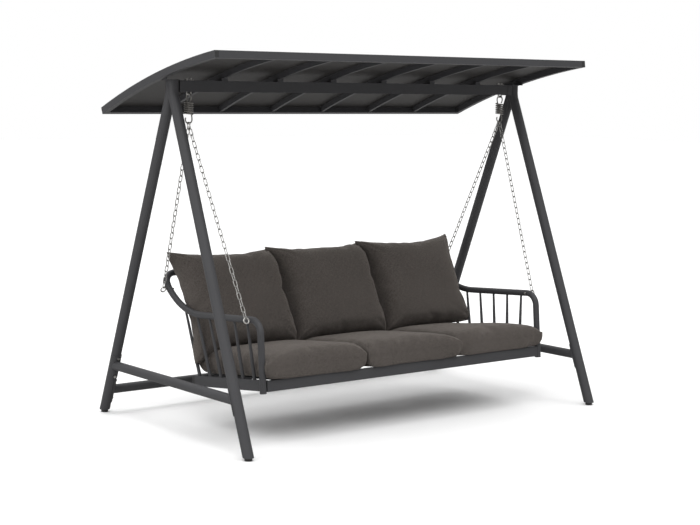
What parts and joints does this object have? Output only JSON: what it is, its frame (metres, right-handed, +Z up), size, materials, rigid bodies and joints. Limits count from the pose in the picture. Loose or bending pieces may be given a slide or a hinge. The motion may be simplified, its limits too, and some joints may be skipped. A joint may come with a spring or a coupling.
{
  "type": "garden swing",
  "caption": "Free-standing garden swing bench with an arched metal roof, hung on springs and chains from a beam between two A-frames, with seat and back cushions.",
  "frame": {"origin": "on the ground, at the centre of the bounding box", "axes": "+X along the beam, -Y the open front of the bench, +Z up"},
  "size_m": [2.746, 1.5748, 2.1278],
  "materials": {
    "frame_paint": "satin anthracite powder coat",
    "roof_sheet": "matt anthracite powder coat",
    "zinc_hardware": "zinc plated",
    "chain_steel": "bright zinc plated",
    "spring_steel": "dull zinc plated",
    "black_plastic": "moulded",
    "seat_cloth": "woven polyester, dark taupe grey",
    "back_cloth": "woven polyester, dark taupe grey"
  },
  "bodies": {
    "stand": {"leg_front_left": "frame_paint", "leg_front_right": "frame_paint", "leg_back_left": "frame_paint", "leg_back_right": "frame_paint", "foot_glides": "black_plastic", "beam": "frame_paint", "beam_sockets": "frame_paint", "stretcher_left": "frame_paint", "stretcher_right": "frame_paint", "stretcher_back": "frame_paint", "saddles_left": "frame_paint", "saddles_right": "frame_paint", "saddles_back": "frame_paint", "saddle_bolts": "zinc_hardware", "u_bolt_left": "zinc_hardware", "u_bolt_right": "zinc_hardware", "u_bolt_nuts": "zinc_hardware", "roof_side_left": "frame_paint", "roof_side_right": "frame_paint", "roof_front": "frame_paint", "roof_back": "frame_paint", "roof_rib_1": "frame_paint", "roof_rib_2": "frame_paint", "roof_rib_3": "frame_paint", "roof_rib_4": "frame_paint", "roof_rib_5": "frame_paint", "roof_rib_6": "frame_paint", "roof_panels": "roof_sheet", "roof_clamps": "frame_paint", "head_brackets": "frame_paint", "roof_end_caps": "black_plastic"},
    "hangers": {"spring_left": "spring_steel", "spring_right": "spring_steel"},
    "seat": {"chain_front_left": "chain_steel", "chain_front_right": "chain_steel", "chain_back_left": "chain_steel", "chain_back_right": "chain_steel", "chain_eyes_left": "zinc_hardware", "chain_eyes_right": "zinc_hardware", "chain_eye_nuts": "zinc_hardware", "arm_left": "frame_paint", "arm_right": "frame_paint", "back_tube": "frame_paint", "bench_front_rail": "frame_paint", "bench_back_rail": "frame_paint", "bench_side_left": "frame_paint", "bench_side_right": "frame_paint", "bench_slats": "frame_paint", "spindles_left": "frame_paint", "spindles_right": "frame_paint", "spindles_back_left": "frame_paint", "spindles_back_middle": "frame_paint", "spindles_back_right": "frame_paint", "bench_caps": "black_plastic", "seat_cushion_left": "seat_cloth", "seat_cushion_middle": "seat_cloth", "seat_cushion_right": "seat_cloth", "back_cushion_left": "back_cloth", "back_cushion_middle": "back_cloth", "back_cushion_right": "back_cloth"}
  },
  "joints": [
    {"name": "seat_swing", "type": "hinge", "parent": "stand", "child": "hangers", "pos_m": [0, 0, 1.8935], "axis": [1, 0, 0], "range_deg": [-22, 22]},
    {"name": "seat_bounce", "type": "slide", "parent": "hangers", "child": "seat", "axis": [0, 0, 1], "range_m": [-0.03, 0.008], "stiffness_N_per_m": 30000, "deforming": ["spring_left", "spring_right"]}
  ]
}
